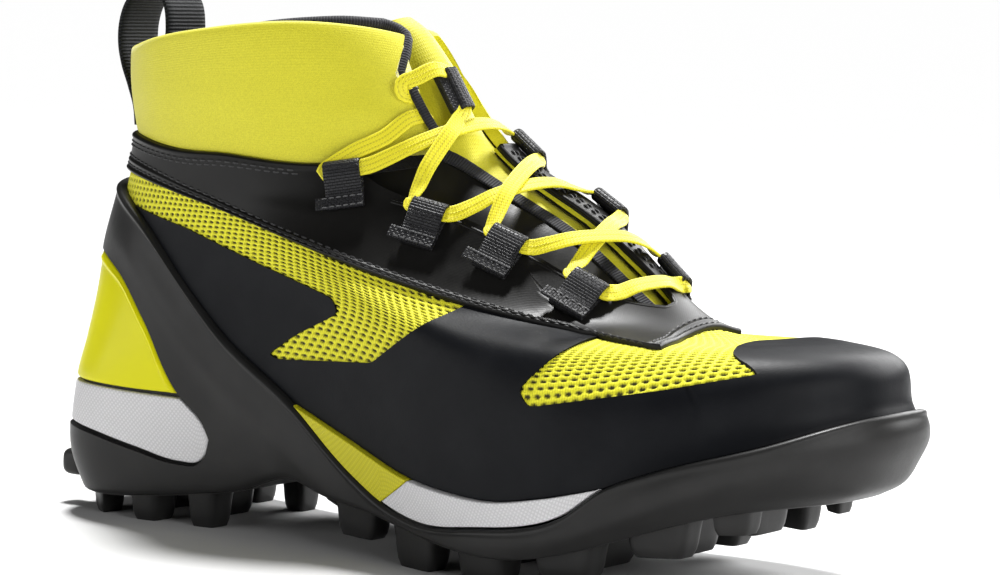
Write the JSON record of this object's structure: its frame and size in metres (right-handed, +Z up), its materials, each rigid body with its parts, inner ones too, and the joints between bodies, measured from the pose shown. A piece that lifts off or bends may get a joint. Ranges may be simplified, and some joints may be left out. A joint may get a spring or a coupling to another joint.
{
  "type": "canyoneering shoe",
  "caption": "Right mid-height canyoneering shoe: hollow mesh upper with welded overlays, padded ankle cuff, laced throat with webbing loops and a lugged rubber sole with climbing arms.",
  "frame": {"origin": "middle of the footprint box, on the floor that the lugs stand on", "axes": "+X from the heel to the toe, +Y to the inner (medial) side, +Z up"},
  "size_m": [0.3029, 0.1083, 0.1768],
  "materials": {
    "black_rubber": "satin moulded rubber",
    "grey_foam": "pale foam with a fine diagonal hatch",
    "yellow_foam": "yellow foam with a fine hatch",
    "yellow_moulding": "smooth glossy moulding",
    "black_fabric": "dark lining cloth",
    "yellow_mesh": "spacer mesh with rows of slots",
    "black_film": "matt welded film with a fine grain",
    "black_sheet": "smooth sheet with a stitched edge",
    "yellow_stretch": "fine stretch knit",
    "black_binding": "rolled binding tape",
    "black_webbing": "woven webbing",
    "yellow_lace": "flat braid"
  },
  "bodies": {
    "root": {"outsole": "black_rubber", "heel_midsole": "grey_foam", "forefoot_midsole": "grey_foam", "arch_wedge_lateral": "yellow_foam", "arch_wedge_medial": "yellow_foam", "heel_clip": "yellow_moulding", "insole": "black_fabric", "upper": "yellow_mesh", "film_overlay": "black_film", "eyestay": "black_sheet", "ankle_cuff": "yellow_stretch", "cuff_binding": "black_binding", "tongue": "yellow_stretch", "pull_loop": "black_webbing", "lace_loop_lateral_1": "black_webbing", "lace_loop_lateral_2": "black_webbing", "lace_loop_lateral_3": "black_webbing", "lace_loop_lateral_4": "black_webbing", "lace_loop_medial_1": "black_webbing", "lace_loop_medial_2": "black_webbing", "lace_loop_medial_3": "black_webbing", "lace_loop_medial_4": "black_webbing", "lace_loop_tongue": "black_webbing", "lace_bar": "yellow_lace", "lace_cross_43": "yellow_lace", "lace_cross_32": "yellow_lace", "lace_cross_21": "yellow_lace"}
  },
  "joints": []
}
